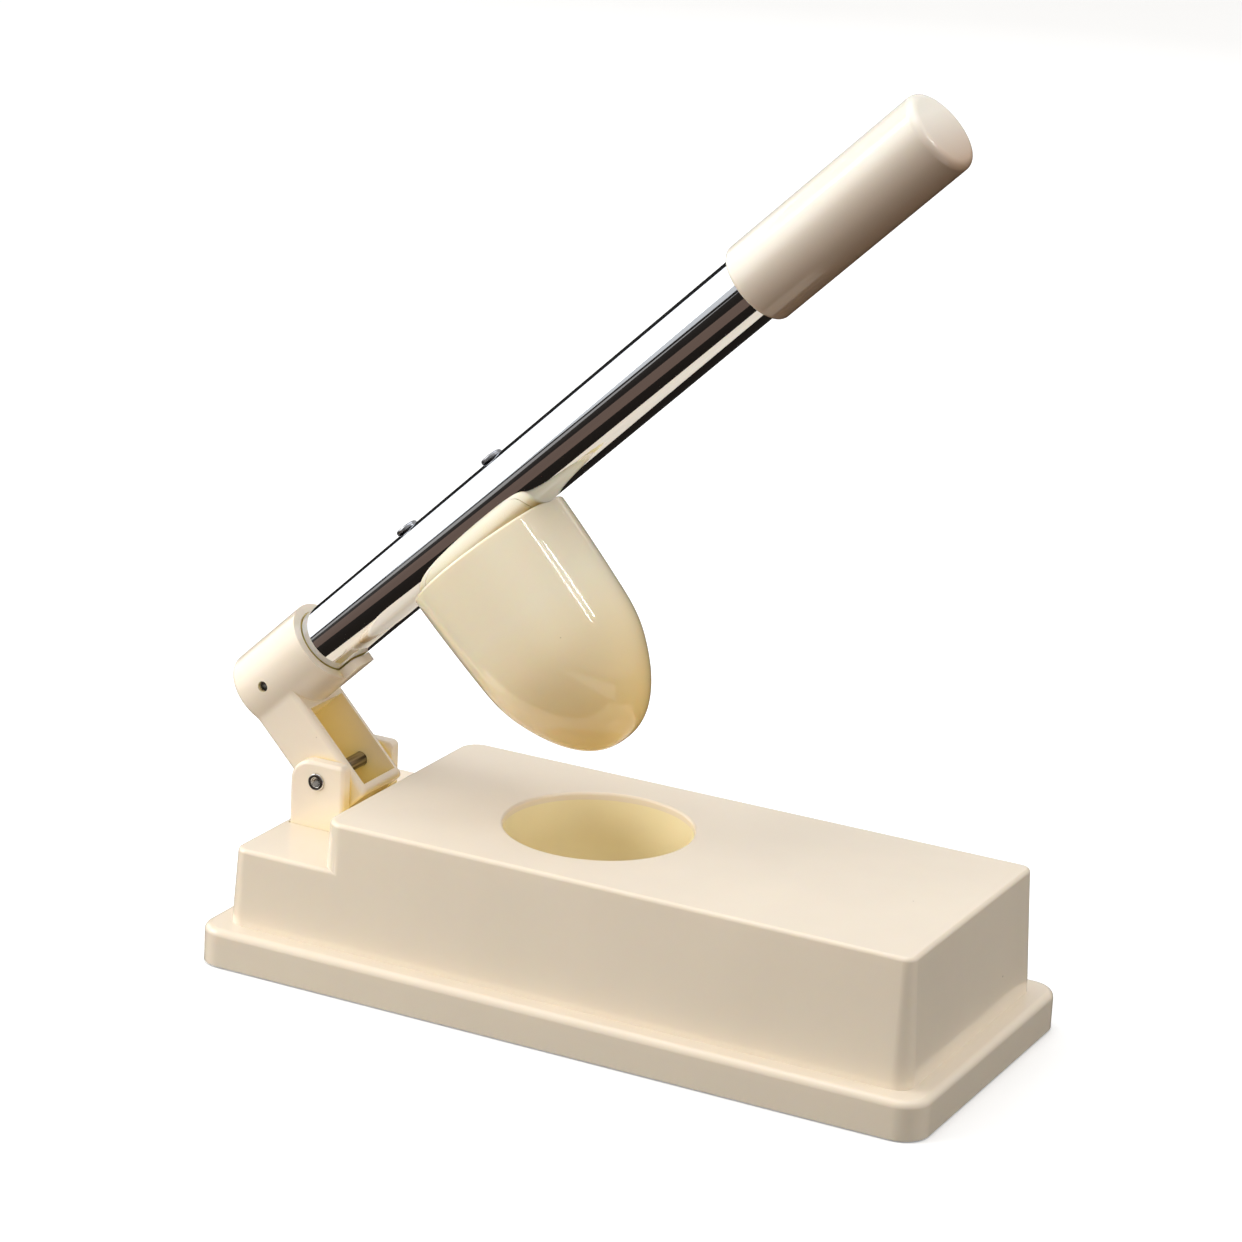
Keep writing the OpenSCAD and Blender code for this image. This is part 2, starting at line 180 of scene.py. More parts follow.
def eased(corners, steps=6, closed=True):
    """The outline through corners (x, y, radius), with each corner turned into an arc of its radius."""
    points = []
    last = len(corners) - 1
    for i, (x, y, radius) in enumerate(corners):
        here = Vector((x, y))
        if radius == 0 or (not closed and i in (0, last)):
            points.append(here)
            continue
        to_last = (Vector(corners[i - 1][:2]) - here).normalized()
        to_next = (Vector(corners[(i + 1) % len(corners)][:2]) - here).normalized()
        half = to_last.angle(to_next) / 2
        centre = here + (to_last + to_next).normalized() * radius / sin(half)
        start = here + to_last * radius * cos(half) / sin(half) - centre
        end = here + to_next * radius * cos(half) / sin(half) - centre
        a = atan2(start.y, start.x)
        turn = (atan2(end.y, end.x) - a + pi) % (2 * pi) - pi
        points += [
            centre + radius * Vector((cos(a + turn * k / steps), sin(a + turn * k / steps)))
            for k in range(steps + 1)
        ]
    return points


def box_outline(x0, x1, half_y, corner0, corner1, grow=0.0):
    """A rectangle with corners of one radius at x0 and another at x1, grown outward all round."""
    a = x0 - grow
    b = x1 + grow
    y = half_y + grow
    r0 = corner0 + grow
    r1 = corner1 + grow
    return eased([(b, y, r1), (a, y, r0), (a, -y, r0), (b, -y, r1)], steps=10)


def round_inset(distance, radius):
    """How far a rounded edge stands in, at a distance from the end face."""
    if distance >= radius:
        return 0.0
    return radius - sqrt(radius ** 2 - (radius - distance) ** 2)


def round_steps(radius, steps=6):
    """Distances from an end face at which a rounded edge takes its rings, from the face inward."""
    return [radius * (1 - sin(pi / 2 * (steps - i) / steps)) for i in range(steps + 1)]


def dome(radius, depth, drop_power, side_power, steps):
    """A dome's half outline from its rim at height 0 down to its lowest point on the axis."""
    angles = [pi / 2 * i / steps for i in range(steps)]
    points = [
        Vector((radius * cos(a) ** (2 / side_power), -depth * sin(a) ** (2 / drop_power)))
        for a in angles
    ]
    return points + [Vector((0, -depth))]


# ---------- meshes ----------

TO_X = Matrix(((0, 0, 1, 0), (1, 0, 0, 0), (0, 1, 0, 0), (0, 0, 0, 1)))
TO_Y = Matrix(((1, 0, 0, 0), (0, 0, 1, 0), (0, 1, 0, 0), (0, 0, 0, 1)))
TO_Z = Matrix.Identity(4)


def solid_from(name, bm, turn=TO_Z, shift=(0, 0, 0)):
    """An object from a mesh in millimetres, after turn and shift."""
    bm.transform(Matrix.Scale(MM, 4) @ Matrix.Translation(shift) @ turn)
    bmesh.ops.recalc_face_normals(bm, faces=bm.faces)
    mesh = bpy.data.meshes.new(name)
    bm.to_mesh(mesh)
    bm.free()
    obj = bpy.data.objects.new(name, mesh)
    bpy.context.scene.collection.objects.link(obj)
    return obj


def bridge(bm, loop, following):
    """Quads between two loops that have as many points."""
    for i in range(len(loop)):
        j = (i + 1) % len(loop)
        bm.faces.new((loop[i], loop[j], following[j], following[i]))


def lofted(name, rings, turn=TO_Z, shift=(0, 0, 0)):
    """A closed solid through rings, each (outline, height)."""
    bm = bmesh.new()
    loops = [[bm.verts.new((p[0], p[1], height)) for p in outline] for outline, height in rings]
    for loop, following in zip(loops, loops[1:]):
        bridge(bm, loop, following)
    bm.faces.new(loops[0])
    bm.faces.new(loops[-1])
    return solid_from(name, bm, turn, shift)


def turned(name, profile, steps=128, turn=TO_Z, shift=(0, 0, 0)):
    """Turns a profile of (radius, height) round the axis.

    A profile that neither starts nor ends on the axis is closed into a ring.
    """
    bm = bmesh.new()
    angles = [2 * pi * i / steps for i in range(steps)]
    rings = []
    for radius, height in profile:
        if radius < 1e-6:
            rings.append([bm.verts.new((0, 0, height))])
        else:
            rings.append([bm.verts.new((radius * cos(a), radius * sin(a), height)) for a in angles])
    pairs = list(zip(rings, rings[1:]))
    if len(rings[0]) > 1 and len(rings[-1]) > 1:
        pairs.append((rings[-1], rings[0]))
    for ring, following in pairs:
        if len(ring) > 1 and len(following) > 1:
            bridge(bm, ring, following)
            continue
        tip, edge = (ring, following) if len(ring) == 1 else (following, ring)
        for i in range(steps):
            bm.faces.new((tip[0], edge[i], edge[(i + 1) % steps]))
    return solid_from(name, bm, turn, shift)


def peg(name, radius, start, end, turn=TO_Z, shift=(0, 0, 0), steps=48):
    """A plain round cutter or boss, with rings across it."""
    circle = arc((0, 0), radius, 0, 360 - 360 / steps, steps - 1)
    return lofted(name, [(circle, start), (circle, end)], turn, shift)


def block(name, lo, hi):
    """A sharp-edged box, used to cut with."""
    corners = [(lo[0], lo[1]), (hi[0], lo[1]), (hi[0], hi[1]), (lo[0], hi[1])]
    return lofted(name, [(corners, lo[2]), (corners, hi[2])])


def bake(obj):
    """Applies the object's modifiers."""
    graph = bpy.context.evaluated_depsgraph_get()
    mesh = bpy.data.meshes.new_from_object(obj.evaluated_get(graph))
    obj.modifiers.clear()
    obj.data = mesh


def combine(obj, others, operation):
    """Boolean of obj with each of the others, which are used up."""
    for other in others:
        step = obj.modifiers.new("combine", "BOOLEAN")
        step.operation = operation
        step.solver = "EXACT"
        step.object = other
        bake(obj)
        bpy.data.objects.remove(other)
    return obj


def cut(obj, *others):
    return combine(obj, others, "DIFFERENCE")


def fuse(obj, *others):
    return combine(obj, others, "UNION")


def ease_edges(obj, width, angle=40, segments=3):
    """Rounds every edge sharper than angle."""
    step = obj.modifiers.new("ease", "BEVEL")
    step.width = width * MM
    step.segments = segments
    step.limit_method = "ANGLE"
    step.angle_limit = radians(angle)
    step.use_clamp_overlap = True
    bake(obj)
    return obj


def shade(obj, sharp_angle=32):
    """Smooth shading that follows the large faces and breaks at sharp edges."""
    bm = bmesh.new()
    bm.from_mesh(obj.data)
    bmesh.ops.remove_doubles(bm, verts=bm.verts, dist=0.002 * MM)
    bm.to_mesh(obj.data)
    bm.free()
    obj.data.shade_smooth()
    obj.data.set_sharp_from_angle(angle=radians(sharp_angle))
    step = obj.modifiers.new("normals", "WEIGHTED_NORMAL")
    step.keep_sharp = True
    return obj


def place(obj, body, material, slot, *nodes):
    """Puts a finished piece on its body, in place of CAD nodes."""
    obj.data.transform(LEVER if body == "lever" else BASE)
    obj.data.materials.clear()
    obj.data.materials.append(material)
    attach(obj, body)
    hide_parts(*nodes)
    return obj


# ---------- materials ----------

class Nodes:
    """A material's node tree, with short ways to add and link nodes."""

    def __init__(self, name):
        self.material = bpy.data.materials.new(name)
        self.material.use_nodes = True
        self.tree = self.material.node_tree
        self.shader = self.tree.nodes["Principled BSDF"]
        self.coords = self.add("ShaderNodeTexCoord").outputs["Object"]

    def add(self, kind, **settings):
        node = self.tree.nodes.new(kind)
        for key, value in settings.items():
            setattr(node, key, value)
        return node

    def link(self, source, target):
        self.tree.links.new(source, target)

    def stretched(self, scale, turn=0.0):
        """The object's coordinates, turned back by an angle about Y and then scaled along each axis."""
        if turn:
            upright = self.add("ShaderNodeVectorRotate", rotation_type="Y_AXIS")
            upright.inputs["Angle"].default_value = radians(turn)
            self.link(self.coords, upright.inputs["Vector"])
            self.coords = upright.outputs["Vector"]
        node = self.add("ShaderNodeMapping")
        node.inputs["Scale"].default_value = scale
        self.link(self.coords, node.inputs["Vector"])
        return node.outputs["Vector"]

    def lever_height(self):
        """Height square to the tube, with the hinge pin at pin_z, in metres."""
        upright = self.add("ShaderNodeVectorRotate", rotation_type="Y_AXIS")
        upright.inputs["Center"].default_value = pin_place
        upright.inputs["Angle"].default_value = radians(LEVER_ANGLE)
        self.link(self.coords, upright.inputs["Vector"])
        parts = self.add("ShaderNodeSeparateXYZ")
        self.link(upright.outputs["Vector"], parts.inputs["Vector"])
        return parts.outputs["Z"]

    def noise(self, scale, detail=3.0, coords=None):
        node = self.add("ShaderNodeTexNoise")
        node.inputs["Scale"].default_value = scale
        node.inputs["Detail"].default_value = detail
        self.link(coords or self.coords, node.inputs["Vector"])
        return node.outputs["Fac"]

    def remap(self, value, low, high, to_low, to_high):
        """Value from low to high becomes to_low to to_high, clamped."""
        node = self.add("ShaderNodeMapRange")
        names = ("From Min", "From Max", "To Min", "To Max")
        for name, number in zip(names, (low, high, to_low, to_high)):
            node.inputs[name].default_value = number
        self.link(value, node.inputs["Value"])
        return node.outputs["Result"]

    def mix(self, amount, first, second):
        """Colour mix. first and second are colours or sockets."""
        node = self.add("ShaderNodeMix", data_type="RGBA")
        self.link(amount, node.inputs["Factor"])
        for key, value in ((6, first), (7, second)):
            if isinstance(value, tuple):
                node.inputs[key].default_value = (*value, 1)
            else:
                self.link(value, node.inputs[key])
        return node.outputs[2]

    def bump(self, height, strength, distance, after=None):
        node = self.add("ShaderNodeBump")
        node.inputs["Strength"].default_value = strength
        node.inputs["Distance"].default_value = distance
        self.link(height, node.inputs["Height"])
        if after:
            self.link(after, node.inputs["Normal"])
        return node.outputs["Normal"]

    def set(self, **values):
        """Uniform values on the shader's own sockets. An underscore stands for a space."""
        for key, value in values.items():
            self.shader.inputs[key.replace("_", " ")].default_value = value

    def feed(self, name, socket):
        self.link(socket, self.shader.inputs[name])


def moulded(name, light, painted_shade_colour, hollow_depth, open_at=0.5, gloss=0.16, soft=0.12, tip=None, painted_glow=0.0):
    """Glossy moulded plastic: ivory where it is open to the light, with painted shade that turns it deeper
    and more yellow in hollows.

    hollow_depth is how far it looks for walls around it, in metres, and open_at how open a place has to be
    to keep the light colour; more closed places take the deeper colour, painted shade. soft is how much
    light passes under the surface. tip gives two heights in the lever frame, and the colour also deepens
    from the first down to the second, painted shade on the lower side. painted_glow is the strength of a
    painted glow in the deeper colour in hollows, standing for light through thin walls. It doesn't reach
    into narrow gaps.
    """
    n = Nodes(name)
    # slow drift of the pigment, and a few dark specks moulded in
    drift = n.remap(n.noise(22, 4), 0.3, 0.7, 0, 1)
    paler = tuple(min(1, c * 1.04) for c in light)
    body = n.mix(drift, light, paler)
    specks = n.add("ShaderNodeTexVoronoi", feature="F1")
    specks.inputs["Scale"].default_value = 42
    n.link(n.coords, specks.inputs["Vector"])
    speck = n.remap(specks.outputs["Distance"], 0.012, 0.02, 0.65, 0)
    body = n.mix(speck, body, (0.2, 0.14, 0.08))
    # painted shade: hollows and corners take the deeper colour
    hollow = n.add("ShaderNodeAmbientOcclusion", samples=6)
    hollow.inputs["Distance"].default_value = hollow_depth
    depth = n.remap(hollow.outputs["AO"], 0.05, open_at, 1, 0)
    # painted shade: the colour deepens towards the lever's lower side too
    if tip:
        deeper = n.add("ShaderNodeMath", operation="MAXIMUM")
        n.link(depth, deeper.inputs[0])
        start, end = [(pin_z + q) * MM for q in tip]
        n.link(n.remap(n.lever_height(), end, start, 0.8, 0), deeper.inputs[1])
        depth = deeper.outputs["Value"]
    n.feed("Base Color", n.mix(depth, body, painted_shade_colour))
    # painted light: a faint glow in the deeper colour in hollows, as if lit through the walls
    if painted_glow:
        through = n.add("ShaderNodeMath", operation="MULTIPLY")
        n.link(n.remap(hollow.outputs["AO"], 0.04, 0.14, 0, painted_glow), through.inputs[0])
        n.link(n.remap(hollow.outputs["AO"], 0.14, open_at, 1, 0), through.inputs[1])
        n.feed("Emission Strength", through.outputs["Value"])
        n.set(Emission_Color=(*painted_shade_colour, 1))
    # handling marks in the gloss, and the faint orange peel of an injection moulding
    marks = n.noise(90, 5, n.stretched((1, 0.35, 1)))
    n.feed("Roughness", n.remap(marks, 0.3, 0.7, gloss * 0.8, gloss * 1.35))
    peel = n.bump(n.noise(420, 2), 0.05, 0.0002)
    waves = n.bump(n.noise(26, 1), 0.12, 0.0006, after=peel)
    n.feed("Normal", waves)
    n.set(IOR=1.5, Coat_Weight=0.35, Coat_Roughness=0.04, Subsurface_Weight=soft,
          Subsurface_Scale=0.004, Subsurface_Radius=(1.0, 0.55, 0.22))
    return n.material


def metal(name, colour, tint, rough, grain, grain_depth, turn=0.0, bright_past=None):
    """Worked metal with a grain, fine scratches and faint finger marks.

    turn lines the grain up with the lever. Further out than bright_past from the middle plane, in
    millimetres, the metal is a plain bright steel colour; nearer in it keeps colour and tint, which on the
    pin are painted shade.
    """
    n = Nodes(name)
    drawn = n.noise(0.3, 3, n.stretched(grain, turn))
    body = n.mix(n.remap(drawn, 0.4, 0.6, 0, 1), colour, tint)
    if bright_past:
        parts = n.add("ShaderNodeSeparateXYZ")
        n.link(n.coords, parts.inputs["Vector"])
        aside = n.add("ShaderNodeMath", operation="ABSOLUTE")
        n.link(parts.outputs["Y"], aside.inputs[0])
        edge = bright_past * MM
        body = n.mix(n.remap(aside.outputs["Value"], edge - MM, edge, 0, 1), body, (0.8, 0.78, 0.75))
    n.feed("Base Color", body)
    scratches = n.noise(1, 6, n.stretched(grain, turn))
    smudges = n.noise(30, 3)
    finish = n.add("ShaderNodeMath", operation="MULTIPLY")
    n.link(n.remap(scratches, 0.35, 0.75, rough * 0.7, rough * 1.6), finish.inputs[0])
    n.link(n.remap(smudges, 0.3, 0.7, 0.75, 1.4), finish.inputs[1])
    n.feed("Roughness", finish.outputs["Value"])
    n.feed("Normal", n.bump(scratches, grain_depth, 0.0002))
    n.set(Metallic=1.0)
    return n.material


def rubber(name):
    """Dark rubber with a dusty, finely grained surface."""
    n = Nodes(name)
    dust = n.remap(n.noise(150, 4), 0.45, 0.75, 0, 1)
    n.feed("Base Color", n.mix(dust, (0.03, 0.03, 0.032), (0.1, 0.095, 0.09)))
    n.feed("Roughness", n.remap(n.noise(80, 2), 0.3, 0.7, 0.7, 0.95))
    n.feed("Normal", n.bump(n.noise(2500, 2), 0.4, 0.0002))
    n.set(Specular_IOR_Level=0.3)
    return n.material


def paper_floor(name):
    """Seamless pale backdrop paper. It throws little light back up, as if the table beyond it were dark."""
    n = Nodes(name)
    tone = n.remap(n.noise(3, 3), 0.3, 0.7, 0, 1)
    pale = n.mix(tone, (0.93, 0.928, 0.92), (0.945, 0.943, 0.935))
    seen = n.add("ShaderNodeLightPath").outputs["Is Camera Ray"]
    n.feed("Base Color", n.mix(seen, (0.01, 0.007, 0.005), pale))
    n.feed("Emission Strength", n.remap(seen, 0, 1, 0, 0.2))
    n.feed("Normal", n.bump(n.noise(900, 3), 0.05, 0.0003))
    n.set(Roughness=0.9, Specular_IOR_Level=0.1, Emission_Color=(1, 0.995, 0.985, 1))
    return n.material


IVORY = (0.83, 0.72, 0.575)
PALE_IVORY = (1.0, 0.84, 0.62)
# the colour of painted shade in hollows
PAINTED_SHADE_AMBER = (0.7, 0.5, 0.16)
# painted shade: every moulded plastic deepens to a more yellow colour in hollows and corners, such as the
# arm's pocket and the base's corners
ivory_housing = moulded("ivory_housing", IVORY, PAINTED_SHADE_AMBER, 0.03, open_at=0.3)
# painted shade: the well's plastic is a deeper yellow all over and deeper still in its hollow, for the
# shade inside the well
ivory_well = moulded("ivory_well", (0.9, 0.79, 0.51), (0.86, 0.66, 0.27), 0.05, open_at=0.6)
# painted light: the hinge plastic also glows faintly in its hollows
ivory_hinge = moulded("ivory_hinge", (0.86, 0.75, 0.61), (1.0, 0.8, 0.28), 0.03, open_at=0.55, painted_glow=0.09)
# painted shade: the plunger turns amber towards the lower end of its dome
ivory_plunger = moulded("ivory_plunger", PALE_IVORY, (0.86, 0.58, 0.17), 0.02, gloss=0.09, soft=0.25,
                        tip=(0, -55))
# painted shade: the grip's underside is painted dark brown
ivory_grip = moulded("ivory_grip", (0.97, 0.89, 0.77), (0.36, 0.17, 0.06), 0.02, gloss=0.12,
                     tip=(51, 27))
plate_plastic = moulded("plate_plastic", (0.7, 0.62, 0.48), PAINTED_SHADE_AMBER, 0.01, gloss=0.4)
chrome = metal("chrome", (0.81, 0.84, 0.88), (0.78, 0.81, 0.855), 0.03, (20, 1500, 1500), 0.02,
               LEVER_ANGLE)
# painted shade: the pin's shaft is coloured near black, as it sits in shade inside the arm and ears, and
# its grain runs in paler streaks along it, partly painted highlight stripes; past the ears the head keeps a
# bright steel colour
pin_steel = metal("pin_steel", (0.5, 0.46, 0.4), (0.09, 0.075, 0.06), 0.12, (1500, 60, 1500), 0.06,
                  bright_past=ear_outer - 2)
zinc = metal("zinc", (0.62, 0.63, 0.65), (0.5, 0.5, 0.52), 0.3, (700, 700, 700), 0.15)
brass = metal("brass", (0.72, 0.52, 0.24), (0.6, 0.42, 0.18), 0.28, (900, 90, 900), 0.1)
black_rubber = rubber("black_rubber")


# ---------- base ----------

def wall_lean(z):
    """How far a drafted wall stands outside the top outline at height z."""
    return wall_draft * (block_top - z)


def rounded_block(name, x0, x1, half_y, corner0, corner1, foot, top, edge, draft):
    """A block with drafted walls and a rounded top edge."""
    rings = [(box_outline(x0, x1, half_y, corner0, corner1, draft(foot)), foot)]
    for distance in reversed(round_steps(edge)):
        grow = draft(top) - round_inset(distance, edge)
        rings.append((box_outline(x0, x1, half_y, corner0, corner1, grow), top - distance))
    return lofted(name, rings)


def hollow_block(name, x0, x1, half_y, corner, foot, top, draft):
    """The space inside a drafted block."""
    return lofted(name, [(box_outline(x0, x1, half_y, corner, corner, draft(z)), z) for z in (foot, top)])


def upright(z):
    """A wall without draft."""
    return 0.0


def base_shell():
    """The moulded body: skirt, low deck and raised block, open below, with the well's mouth."""
    shell = rounded_block("base_body", -skirt_x, skirt_x, skirt_y, skirt_corner, skirt_corner,
                          skirt_foot, skirt_height, ledge_round, upright)
    deck = rounded_block("deck", -block_x, step_x + 60, block_y, block_corner, block_corner,
                         skirt_height - 2, deck_top, edge_round, wall_lean)
    raised = rounded_block("raised", step_x, block_x, block_y, step_corner, block_corner,
                           skirt_height - 1, block_top, edge_round, wall_lean)
    fuse(shell, deck, raised)
    ease_edges(shell, 0.7, angle=50, segments=2)
    inner_y = block_y - wall
    cut(shell,
        hollow_block("in_skirt", -skirt_x + wall, skirt_x - wall, skirt_y - wall, skirt_corner - wall,
                     -1, skirt_height - wall, upright),
        hollow_block("in_deck", -block_x + wall, step_x + 60, inner_y, 3, skirt_height - wall - 1,
                     deck_top - wall, wall_lean),
        hollow_block("in_raised", step_x + wall, block_x - wall, inner_y, 3, skirt_height - wall - 1,
                     block_top - wall, wall_lean))
    add_bosses(shell)
    mouth = eased([(0, 55, 0), (well_r, 55, 0), (well_r, block_top, well_rim_round),
                   (well_r + 4, block_top, 0), (well_r + 4, block_top + 3, 0), (0, block_top + 3, 0)],
                  steps=8, closed=False)
    cut(shell, turned("mouth", mouth, shift=(well_x, 0, 0)))
    for side in (-1, 1):
        middle = side * (ear_outer - ear_thick / 2)
        reach_x = ear_half + slot_gap
        reach_y = ear_thick / 2 + slot_gap
        cut(shell, block("slot", (pin_x - reach_x, middle - reach_y, deck_top - 14),
                         (pin_x + reach_x, middle + reach_y, deck_top + 5)))
    place(shade(shell), "base", ivory_housing, "ivory_housing", "base_shell")


def bracket_screw_places():
    """Where the four screws of the hinge bracket stand."""
    return [(pin_x + dx, y, 0) for dx in (-bracket_screw_dx, bracket_screw_dx)
            for y in (-bracket_screw_y, bracket_screw_y)]


def add_bosses(shell):
    """Screw bosses under the ceilings and posts for the bottom plate."""
    ceiling = block_top - wall
    deck_ceiling = deck_top - wall
    bosses = [peg("cup_boss", cup_boss_r, cup_flange_z + cup_flange_thick, ceiling + 1,
                  shift=(well_x + cup_screw_r * cos(radians(a)), cup_screw_r * sin(radians(a)), 0))
              for a in cup_screw_angles]
    bosses += [peg("bracket_boss", bracket_boss_r, bracket_z + bracket_thick, deck_ceiling + 1,
                   shift=place_at) for place_at in bracket_screw_places()]
    bosses += [peg("post", post_r, plate_top, deck_ceiling + 1, shift=(x, y, 0))
               for x in post_x for y in (-post_y, post_y)]
    fuse(shell, *bosses)


def well_cup():
    """The cup under the well's mouth: a round wall that runs into a dome."""
    rim = block_top - wall
    depth = well_dome_z - well_floor
    inner = [p + Vector((0, well_dome_z)) for p in dome(well_r, depth, well_power, well_power, 40)]
    outer = [p + Vector((0, well_dome_z))
             for p in dome(well_r + cup_wall, depth + cup_bottom, well_power, well_power, 30)]
    cup_r = well_r + cup_wall
    flange_r = cup_screw_r + 5
    flange_top = cup_flange_z + cup_flange_thick
    flange = [(cup_r, cup_flange_z), (flange_r, cup_flange_z), (flange_r, flange_top), (cup_r, flange_top)]
    profile = list(reversed(inner)) + [(well_r, rim), (cup_r, rim)]
    profile += list(reversed(flange)) + outer
    cup = turned("well_liner", profile, shift=(well_x, 0, 0))
    place(shade(cup), "base", ivory_well, "ivory_well", "well_cup")


# ---------- hinge ----------

def ear(side):
    """One upright ear of the bracket, with its rim rounded, more on the outside."""
    outer_round = 1.7
    inner_round = 0.8
    bottom = bracket_z + 1.5
    rings = []
    levels = [(ear_outer - d, round_inset(d, outer_round)) for d in round_steps(outer_round)]
    inner_levels = [(ear_outer - ear_thick + d, round_inset(d, inner_round))
                    for d in reversed(round_steps(inner_round))]
    for y, inset in levels + inner_levels:
        half = ear_half - inset
        top = ear_top - inset
        outline = eased([(-half, bottom, 0), (-half, top, ear_back_round - inset),
                         (half, top, ear_front_round - inset), (half, bottom, 0)], steps=12)
        rings.append((outline, side * y))
    return lofted("ear", rings, TO_Y, (pin_x, 0, 0))


def hinge_bracket():
    """Two ears on a plate that is screwed up under the deck."""
    bracket = block("hinge_ears", (pin_x - ear_half, -bracket_reach, bracket_z),
                    (pin_x + ear_half, bracket_reach, bracket_z + bracket_thick))
    fuse(bracket, ear(-1), ear(1))
    cut(bracket,
        peg("pin_bore", pin_r + 0.02, -40, 40, TO_Y, (pin_x, 0, pin_z)),
        peg("head_seat", pin_head_r + 0.1, -ear_outer - 2, -ear_outer + 1.2, TO_Y, (pin_x, 0, pin_z)),
        *[peg("hole", bracket_hole_r, bracket_z - 1, bracket_z + 5, shift=place_at)
          for place_at in bracket_screw_places()])
    place(shade(bracket), "base", ivory_hinge, "ivory_ears", "hinge_bracket")


def hinge_pin():
    """The pin: a low head with a socket on the near side, and a groove for its clip on the far side."""
    head = -ear_outer - pin_head
    head_back = head + 1.9
    socket = head + 2.4
    groove = ear_outer
    groove_end = ear_outer + 0.9
    end = ear_outer + 2
    profile = eased([(0, socket, 0), (pin_socket_r, socket, 0), (pin_socket_r, head, 0.25),
                     (pin_head_r, head, 0.5), (pin_head_r, head_back, 0.1), (pin_r, head_back, 0),
                     (pin_r, groove, 0), (pin_r - 0.6, groove, 0), (pin_r - 0.6, groove_end, 0),
                     (pin_r, groove_end, 0), (pin_r, end, 0.5), (0, end, 0)], steps=5, closed=False)
    pin = turned("pivot_pin", profile, 64, TO_Y, (pin_x, 0, pin_z))
    place(shade(pin), "base", pin_steel, "steel_pin", "hinge_pin")


# ---------- lever ----------

def arm_section(socket_inset, cheek_inset, foot):
    """The arm seen along the tube: straight cheeks that blend into the round socket.

    Returns the socket's arc and the rest of the loop apart, so that the socket can run on alone.
    """
    blend_angle = 25
    round_r = socket_r - socket_inset
    half = cheek_outer - cheek_inset
    blend_r = (round_r * cos(radians(blend_angle)) - half) / (1 - cos(radians(blend_angle)))
    blend_q = tube_q - (round_r + blend_r) * sin(radians(blend_angle))
    corner = 1.5
    over = arc((0, tube_q), round_r, -blend_angle, 180 + blend_angle, 92)
    left = arc((-half - blend_r, blend_q), blend_r, blend_angle, 0, 8)
    right = arc((half + blend_r, blend_q), blend_r, 180, 180 - blend_angle, 8)
    feet = [Vector((-half, foot + corner)), *arc((corner - half, foot + corner), corner, 180, 270, 4)[1:],
            *arc((half - corner, foot + corner), corner, 270, 360, 4)[:-1], Vector((half, foot + corner))]
    return over, left[1:] + feet + right[:-1]


def arm_body():
    """Cheeks and socket as one closed solid with rounded edges. The socket runs on to the tongue's end."""
    back_round = 2.6
    front_round = 2.4
    stations = []
    for d in round_steps(back_round):
        inset = round_inset(d, back_round)
        stations.append((arm_back + d, inset, inset))
    for d in reversed(round_steps(front_round)):
        stations.append((arm_front - d, 0, round_inset(d, front_round)))
    bm = bmesh.new()
    loops = []
    for s, socket_inset, cheek_inset in stations:
        over, under = arm_section(socket_inset, cheek_inset, arm_foot + cheek_inset)
        loops.append([bm.verts.new((p[0], p[1], s)) for p in over + under])
    for loop, following in zip(loops, loops[1:]):
        bridge(bm, loop, following)
    bm.faces.new(loops[0])
    count = len(over)
    below = arc((0, tube_q), socket_r, 205, 335, 52)[1:-1]
    lower = [bm.verts.new((p[0], p[1], arm_front)) for p in below]
    bm.faces.new(loops[-1][count - 1:] + [loops[-1][0]] + list(reversed(lower)))
    socket = loops[-1][:count] + lower
    end = [bm.verts.new((v.co.x, v.co.y, tongue_end)) for v in socket]
    bridge(bm, socket, end)
    bm.faces.new(end)
    return solid_from("lever_arm", bm, TO_X)


def around_tongue():
    """What is cut from the socket past its mouth, so that only the tongue is left."""
    reach = socket_r + 6.5
    past = tongue_end + 4
    tongue = arc((tongue_end - tongue_half, 0), tongue_half, -90, 90, 16)
    outline = [(socket_mouth, -tongue_half), *tongue, (socket_mouth, tongue_half),
               (socket_mouth, reach), (past, reach), (past, -reach), (socket_mouth, -reach)]
    sides = lofted("beside_tongue", [(outline, tube_q - 22), (outline, tube_q - 8)])
    above = block("above_tongue", (socket_mouth, -reach, tube_q - 8.5), (past, reach, tube_q + 22))
    return sides, above


def hinge_arm():
    """The arm: hollow from the front, bored for the tube, the pin's bushes and the cross pin."""
    past = 30
    arm = arm_body()
    cut(arm, *around_tongue())
    cut(arm,
        peg("tube_bore", tube_r + 0.05, -8.5, socket_mouth + 1, TO_X, (0, 0, tube_q), 144),
        peg("tongue_gap", tube_r + 0.5, socket_mouth - 0.8, tongue_end + 5, TO_X, (0, 0, tube_q), 144),
        block("pocket", (arm_back + cheek_thick, cheek_thick - cheek_outer, pocket_foot),
              (arm_front + 20, cheek_outer - cheek_thick, pocket_top)),
        peg("pin_bore", pin_r + 0.1, -past, past, TO_Y),
        *[peg("bush_bore", bush_r + 0.02, side * (cheek_outer - bush_seat), side * past, TO_Y)
          for side in (-1, 1)],
        peg("cross_bore", lock_r + 0.02, -past, past, TO_Y, (lock_s, 0, tube_q), 32))
    ease_edges(arm, 0.45, angle=45)
    place(shade(arm), "lever", ivory_hinge, "ivory_arm", "hinge_arm")


def handle_tube():
    """The chromed tube, with its cut ends eased."""
    inner = tube_r - tube_wall
    profile = eased([(tube_r, tube_start, 0.4), (tube_r, tube_end, 0.4), (inner, tube_end, 0.4),
                     (inner, tube_start, 0.4)], steps=4)
    tube = turned("lever_tube", profile, 192, TO_X, (0, 0, tube_q))
    place(shade(tube), "lever", chrome, "chrome_tube", "handle_tube")


